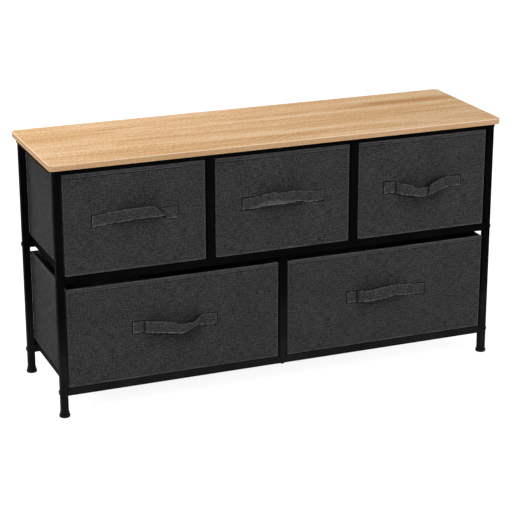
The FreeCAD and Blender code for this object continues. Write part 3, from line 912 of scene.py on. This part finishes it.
    def painted_halo_shade(self, along, up):
        """Painted shade on the cloth behind the loop of the strap, deeper where the loop stands out
        further.
        """
        stations = [[sum(pair) / 2 * MM for pair in zip(*station)] for station in STRAPS[self.name]]
        for here, after in zip(stations, stations[1:]):
            if here[0] <= along < after[0]:
                share = (along - here[0]) / (after[0] - here[0])
                _, middle, out = [a + (b - a) * share for a, b in zip(here, after)]
                off = (up - STRAP_UP - middle + HALO_DROP) / HALO_REACH
                return HALO_SHADE * min(out / HALO_OUT, 1.0) * math.exp(-off * off)
        return 0.0

    def details(self, spot, up, inset):
        """How far a spot stands out in the hem's puckers, or in at the seams of the side walls."""
        wall, share, angle, distance = spot
        outside = inset < WALL / 2
        wander = 2.5 * wave(distance * 20, self.number, 0)
        pucker = PUCKER * math.sin(distance * 2 * math.pi / PUCKER_PITCH + wander)
        pucker *= hill(up, self.height - HEM_STITCH - PUCKER_DROP, PUCKER_HEIGHT)
        groove = 0.0
        if outside and not angle and wall in ("left", "right") and up < self.height - HEM:
            behind = (self.half.y - CORNER) * (1 + share * WALLS[wall].x)
            groove = SEAM_DEPTH * hill(behind, SEAM_INSET, SEAM_WIDTH) * ease(up, *SEAM_FOOT)
        return (pucker if outside else -pucker * 0.5) - groove

    def tuck(self, place, up):
        """Shift of a spot along X."""
        behind = ease(place.y - self.low.y, *TUCK_BEHIND)
        share = (place.x - self.middle.x) / self.half.x
        return -share * behind * TUCK_WIDTH * max(1 - up / TUCK_HEIGHT, 0.0)

    def slack(self, spot):
        """How far the rim hangs at a spot, 0 to 1."""
        _, share, angle, distance = spot
        loose = 0.0 if angle else 1 - share * share
        return loose * (0.6 + 0.4 * wave(distance * 9.0, self.number * 3.0, 1.0))

    def ride(self, piece):
        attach(piece, self.body)

    def sew(self, name, seams, thread):
        points, faces = stitches(seams)
        piece = make_piece(f"{self.name}_drawer_{name}", points, faces, thread)
        self.ride(piece)

    def strap(self, material, thread):
        """The strap handle and the stitches of its tabs."""
        band = Strap(self)
        points, faces, corners = loft(*band.rows())
        piece = make_piece(f"{self.name}_drawer_strap", points, faces, material, corners)
        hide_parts(f"{self.name}_drawer_handle")
        self.ride(piece)
        self.sew("strap_stitches", band.seams(), thread)


def cloth_across(spots, around):
    """Place of each spot on the cloth, round the box and back to the first."""
    distances = [spot[3] for spot in spots] + [spots[0][3] + around]
    cuts = [1.0 if WALLS[spot[0]].y else SIDE_CUT for spot in spots]
    return running((b - a) * cut for a, b, cut in zip(distances, distances[1:], cuts))


def shares(half):
    """Places along a flat stretch, -1 to 1, close together at both ends."""
    begin = NEAR_CORNER[-1]
    length = 2 * half - 2 * begin
    count = round(length / ACROSS_STEP)
    offsets = [*NEAR_CORNER, *(begin + length * i / count for i in range(1, count))]
    offsets += [2 * half - gap for gap in reversed(NEAR_CORNER)]
    return [offset / half - 1 for offset in offsets]


def climb(low, high):
    """Heights up a wall: close together where the side walls tuck in, further apart above."""
    near = round((TUCK_HEIGHT - low) / TUCK_STEP)
    far = round((high - TUCK_HEIGHT) / UP_STEP)
    heights = [low + (TUCK_HEIGHT - low) * i / near for i in range(near)]
    return heights + [TUCK_HEIGHT + (high - TUCK_HEIGHT) * i / far for i in range(far + 1)]


def hem_rows(top, inset, outward):
    """Rows of the turned hem, upwards, on the outside (1) or the inside (-1), as in the profile."""
    foot, seam = top - HEM, top - HEM_STITCH
    proud = inset - outward * HEM_PROUD
    sunk = inset - outward * (HEM_PROUD - HEM_GROOVE)
    # Last entry of each row: painted shade in the crease under the hem and in its stitch groove, painted
    # highlight on the hem's edge.
    return [
        (inset, foot - 1.5 * MM, 1.0, 0.0),
        (inset, foot - 0.3 * MM, 1.0, -1.9),
        (inset - outward * HEM_PROUD * 0.8, foot + 0.4 * MM, 1.0, -0.5),
        (proud, foot + 1.1 * MM, 0.9, 1.2),
        (proud, foot + 2.2 * MM, 0.9, 0.3),
        (proud, seam - 1 * MM, 0.8, 0.2),
        (sunk, seam, 0.8, -1.2),
        (proud, seam + 1 * MM, 0.8, 0.35),
        (proud, seam + 2.2 * MM, 0.7, 0.35),
    ]


# ---- stitches ----
def stitches(seams):
    """Points and faces of short threads along seams of (place, outward) spots."""
    points, faces = [], []
    for seam in seams:
        reach = running((b - a).length for (a, _), (b, _) in zip(seam, seam[1:]))
        count = max(1, round(reach[-1] / STITCH_PITCH))
        pitch = reach[-1] / count
        for number in range(count):
            start = pitch * (number + 0.5) - STITCH_LENGTH / 2
            spots = [spot_at(seam, reach, start + share * STITCH_LENGTH) for share, _, _ in STITCH]
            add_stitch(points, faces, spots)
    return points, faces


def spot_at(seam, reach, distance):
    """(place, outward) this far along a seam."""
    i = min(max(bisect.bisect_right(reach, distance) - 1, 0), len(seam) - 2)
    share = (distance - reach[i]) / max(reach[i + 1] - reach[i], TINY)
    (a, out_a), (b, out_b) = seam[i], seam[i + 1]
    return a.lerp(b, share), out_a.lerp(out_b, min(max(share, 0.0), 1.0)).normalized()


def add_stitch(points, faces, spots):
    """One thread: a thin tube that rises over the cloth and dives at both ends."""
    first = len(points)
    run = (spots[-1][0] - spots[0][0]).normalized()
    for (place, outward), (_, rise, swell) in zip(spots, STITCH):
        side = outward.cross(run).normalized()
        for step in range(THREAD_SIDES):
            angle = 2 * math.pi * step / THREAD_SIDES
            spoke = side * math.cos(angle) + outward * math.sin(angle)
            points.append(place + outward * rise + spoke * THREAD_RADIUS * swell)
    faces += tube_faces(len(STITCH), THREAD_SIDES, first)


# ---- strap handles ----
class Strap:
    """A folded fabric strap, from the stations of its two edges."""

    def __init__(self, drawer):
        self.drawer = drawer
        pairs = [[self.spot(*point) for point in pair] for pair in STRAPS[drawer.name]]
        self.edges, stations = smooth_pairs(pairs)
        rungs = [top + bottom for top, bottom in self.edges]
        self.reach = running((b - a).length / 2 for a, b in zip(rungs, rungs[1:]))
        self.crease_shadows = [(self.reach[stations[i]], wide, deep) for i, wide, deep in CREASE_SHADOWS[drawer.name]]
        self.left_mark, self.right_mark = TAB_MARKS.get(drawer.name, PLAIN_MARKS)
        pleat = PLEATS.get(drawer.name, NO_PLEAT)
        self.pleat_middle = self.reach[stations[pleat[0]]]
        self.pleat_half, self.pleat_width, self.pleat_slope = pleat[1:]

    def spot(self, along, up, out):
        """Place of the strap's middle layer, from millimetres along, up and out."""
        drawer = self.drawer
        height = STRAP_UP + up * MM
        stand = drawer.puff("front", along * MM, height) * (1 - ease(out, 0.0, FREE_OUT))
        y = drawer.low.y - stand - out * MM - STRAP_THICKNESS / 2 + STRAP_SUNK
        return Vector((drawer.middle.x + along * MM, y, drawer.low.z + height))

    def frame_at(self, i):
        """Upper edge, lower edge and outward direction of a row."""
        top, bottom = self.edges[i]
        before, after = max(i - 1, 0), min(i + 1, len(self.edges) - 1)
        run = sum(self.edges[after], Vector()) - sum(self.edges[before], Vector())
        return top, bottom, (bottom - top).cross(run).normalized()

    def face(self, i, across, side, past=0.0):
        """Place on the outer (1) or inner (-1) face of a row, and the outward direction.

        past moves a place of an end row along the strap, beyond its end.
        """
        top, bottom, outward = self.frame_at(i)
        distance = self.reach[i]
        end = min(distance, self.reach[-1] - distance)
        edge = min(across, STRAP_WIDTH - across)
        tab = 1 - ease(end, TAB_LENGTH - TAB_FADE, TAB_LENGTH + TAB_FADE)
        if edge < 0:
            welt = edge * (LOOP_WELT + (1 - LOOP_WELT) * tab)
            across = welt if across < 0 else STRAP_WIDTH - welt
        share = across / STRAP_WIDTH
        lift = tab * TAB_CURL * (1 - ease(min(edge, end), 0.0, CURL_WIDTH))
        lift += self.pleat_slope * self.pleat(distance, across)
        lift += (1 - tab) * STRAP_CROWN * math.sin(math.pi * min(max(share, 0.0), 1.0))
        lift += (1 - tab) * STRAP_RIPPLE * wave(distance * 60, share * 3, self.drawer.number * 7.0)
        if side > 0:
            seams = max(tab * box_dent(end, across), EDGE_GROOVE * hill(edge, EDGE_SEAM, GROOVE_WIDTH))
            lift += section_height(min(edge, end - abs(past))) - GROOVE_DEPTH * seams
        else:
            lift -= STRAP_THICKNESS / 2
        run = outward.cross(bottom - top).normalized()
        return top + (bottom - top) * share + outward * lift + run * past, outward

    def rows(self):
        """Rings round the strap from its left end to its right, and their cloth corners."""
        last = len(self.reach) - 1
        stops = [(0, -WELT), (0, -RISER)]
        stops += [(i, 0.0) for i in range(last + 1)]
        stops += [(last, RISER), (last, WELT)]
        offsets = section_offsets()
        rows, cloth = [], []
        for i, past in stops:
            distance = self.reach[i] + past
            rows.append([self.face(i, across, side, past)[0] for across, side in offsets])
            corners = [(distance, across, self.painted_shade_and_wear(distance, across)) for across, _ in offsets]
            cloth.append(corners + corners[:1])
        return rows, cloth

    def pleat(self, distance, across):
        """How far below the crease of the folded lower edge a place is."""
        off = (distance - self.pleat_middle) / self.pleat_half
        return max(across - STRAP_WIDTH + self.pleat_width * max(1 - off * off, 0.0), 0.0)

    def painted_shade_and_wear(self, distance, across):
        """Light (above 0): edges lighter by rubbed wear and painted highlight, and painted highlight on
        the pleat; dark (below 0): painted shadow in the creases and on the welt outside the edges.
        """
        end = min(distance, self.reach[-1] - distance)
        mark = 1.0
        if end < TAB_LENGTH:
            mark = self.left_mark if distance < TAB_LENGTH else self.right_mark
        if min(across, STRAP_WIDTH - across, end) < 0:
            # Painted shadow on the welt.
            return WELT_SHADOW * mark
        outline = mark * max(edge_wear_and_highlight("strap_top", across), edge_wear_and_highlight("strap_end", end))
        light = max(outline, edge_wear_and_highlight("strap_foot", STRAP_WIDTH - across))
        speckle = 0.7 + 2.2 * wave(distance * 170.0, across * 120.0, self.drawer.number)
        # Painted highlight on the pleat.
        pleat = PLEAT_HIGHLIGHT * ease(self.pleat(distance, across), 0.0, 3 * MM)
        # Painted shadow in the creases.
        dark = max([deep * hill(distance, place, wide) for place, wide, deep in self.crease_shadows] + [0.0])
        return max(light * speckle, pleat) - dark

    def on_cloth(self, distance, across):
        """(place, outward) on the strap's outer face."""
        i = min(bisect.bisect_right(self.reach, distance), len(self.reach) - 2)
        share = (distance - self.reach[i]) / (self.reach[i + 1] - self.reach[i])
        place, outward = self.face(i, across, 1)
        ahead, outward_ahead = self.face(i + 1, across, 1)
        return place.lerp(ahead, share), outward.lerp(outward_ahead, share).normalized()

    def seams(self):
        """A line of stitches along both edges, and a sewn box with a cross in it on each tab."""
        near, far = BOX_INSET, BOX_END
        low, high = BOX_INSET, STRAP_WIDTH - BOX_INSET
        corners = [(near, low), (far, low), (far, high), (near, high), (near, low), (far, high)]
        lines = list(zip(corners, corners[1:])) + [((far, low), (near, high))]
        total = self.reach[-1]
        seams = []
        for across in (EDGE_SEAM, STRAP_WIDTH - EDGE_SEAM):
            stops = [distance for distance in self.reach if EDGE_SEAM < distance < total - EDGE_SEAM]
            seams.append([self.on_cloth(distance, across) for distance in stops])
        for flip in (False, True):
            for (a, b), (c, d) in lines:
                spots = []
                for i in range(BOX_STEPS + 1):
                    along = a + (c - a) * i / BOX_STEPS
                    across = b + (d - b) * i / BOX_STEPS
                    spots.append(self.on_cloth(total - along if flip else along, across))
                seams.append(spots)
        return seams


def smooth_pairs(pairs):
    """Smooth curve through pairs of points, in steps of about STRAP_STEP, and the points' numbers."""
    gaps = [((c - a).length + (d - b).length) / 2 for (a, b), (c, d) in zip(pairs, pairs[1:])]
    runs = [[(b - a) / gap for a, b in zip(*ends)] for *ends, gap in zip(pairs, pairs[1:], gaps)]
    slopes = [runs[0]]
    for before, after, gap, next_gap in zip(runs, runs[1:], gaps, gaps[1:]):
        share = gap / (gap + next_gap)
        slopes.append([even_slope(a, b, share) for a, b in zip(before, after)])
    slopes.append(runs[-1])
    made, stations = [], []
    for i, gap in enumerate(gaps):
        stations.append(len(made))
        count = max(2, round(gap / STRAP_STEP))
        for step in range(count):
            ends = zip(pairs[i], slopes[i], pairs[i + 1], slopes[i + 1])
            made.append([hermite(*end, gap, step / count) for end in ends])
    made.append(pairs[-1])
    return made, stations


def even_slope(before, after, share):
    """Slope between two slopes: flat where they turn, and never over three times the gentler one."""
    slope = []
    for a, b in zip(before, after):
        most = 3 * min(abs(a), abs(b)) if a * b > 0 else 0.0
        slope.append(max(-most, min(most, a + (b - a) * share)))
    return Vector(slope)


def hermite(a, slope_a, b, slope_b, gap, t):
    """Point of the cubic between two points with these slopes."""
    rise = t * t * (3 - 2 * t)
    lean_a = gap * t * (1 - t) * (1 - t)
    lean_b = gap * t * t * (t - 1)
    return a * (1 - rise) + b * rise + slope_a * lean_a + slope_b * lean_b


def section_offsets():
    """(distance from the upper edge, side) round the section: out (1) going down, in (-1) going up."""
    across = [*HALF_SECTION, STRAP_WIDTH / 2]
    across += [STRAP_WIDTH - offset for offset in reversed(HALF_SECTION)]
    return [(offset, 1) for offset in across] + [(offset, -1) for offset in reversed(across)]


def section_height(inside):
    """Height of the outer face over the middle layer: a welt outside the edges, a round edge inside."""
    radius = STRAP_THICKNESS / 2
    if inside < 0:
        return WELT_HEIGHT - radius
    return radius * math.sqrt(1 - (1 - min(inside / radius, 1.0)) ** 2)


def box_dent(end, across):
    """How far the stitches of a tab's box pull the cloth in, 0 to 1."""
    edge = min(across, STRAP_WIDTH - across)
    inside = ease(end, BOX_INSET - MM, BOX_INSET) * ease(edge, BOX_INSET - MM, BOX_INSET)
    ends = max(hill(end, BOX_INSET, CROSS_GROOVE_WIDTH), hill(end, BOX_END, CROSS_GROOVE_WIDTH))
    return inside * max(hill(edge, BOX_INSET, GROOVE_WIDTH), ends)


# ---- camera, light and floor ----
def make_camera():
    data = bpy.data.cameras.new("camera")
    data.lens = CAMERA_LENS
    data.sensor_width = SENSOR_WIDTH
    camera = new_object("camera", data)
    turn = Matrix.Rotation(-math.radians(CAMERA_YAW), 4, "Z")
    tilt = Matrix.Rotation(math.pi / 2 - math.radians(CAMERA_PITCH), 4, "X")
    roll = Matrix.Rotation(-math.radians(CAMERA_ROLL), 4, "Z")
    camera.matrix_world = Matrix.Translation(CAMERA_PLACE) @ turn @ tilt @ roll
    bpy.context.scene.camera = camera


def make_lamps():
    for name, (place, target, width, watts) in LAMPS.items():
        data = bpy.data.lights.new(name, "AREA")
        data.energy = watts
        data.size = width
        lamp = new_object(name, data)
        lamp.location = place
        lamp.rotation_euler = (Vector(target) - Vector(place)).to_track_quat("-Z", "Y").to_euler()


def seen_directly(g):
    """1 for rays that show the backdrop itself: from the camera, in gloss and through glass."""
    path = g.add("LightPath", {}).outputs
    glossy = g.math("MAXIMUM", path["Is Camera Ray"], path["Is Glossy Ray"])
    return g.math("MAXIMUM", glossy, path["Is Transmission Ray"])


def make_world():
    """White where it is seen, a plain soft light everywhere else."""
    world = bpy.data.worlds.new("world")
    bpy.context.scene.world = world
    world.use_nodes = True
    g = Graph(world.node_tree)
    background = g.tree.nodes["Background"]
    g.set(background, "Color", WHITE)
    g.set(background, "Strength", g.blend(seen_directly(g), WORLD_LIGHT, 1.0))


def make_floor():
    """Pale floor that reads white where it is lit and keeps the shadow."""
    g = Finish("floor")
    g.tree.nodes.remove(g.shader)
    matt = g.add("BsdfDiffuse", {"Color": FLOOR_COLOUR})
    glow = g.add("Emission", {"Strength": g.times(seen_directly(g), FLOOR_GLOW)})
    both = g.add("AddShader", {0: matt.outputs[0], 1: glow.outputs[0]})
    g.set(g.tree.nodes["Material Output"], "Surface", both.outputs[0])
    material = g.finish()
    half = FLOOR_SIZE / 2
    corners = [(-half, -half, 0), (half, -half, 0), (half, half, 0), (-half, half, 0)]
    make_piece("floor", corners, [(0, 1, 2, 3)], material)


# ---- assembly ----
bpy.context.scene.view_settings.view_transform = "Standard"
make_camera()
make_lamps()
make_world()
make_floor()
finishes = make_materials()
dress_nodes(finishes)
for number, name in enumerate(DRAWERS):
    drawer = Drawer(name, number)
    drawer.cover(finishes["drawer_fabric"], finishes["thread"])
    drawer.strap(finishes["strap_fabric"], finishes["thread"])
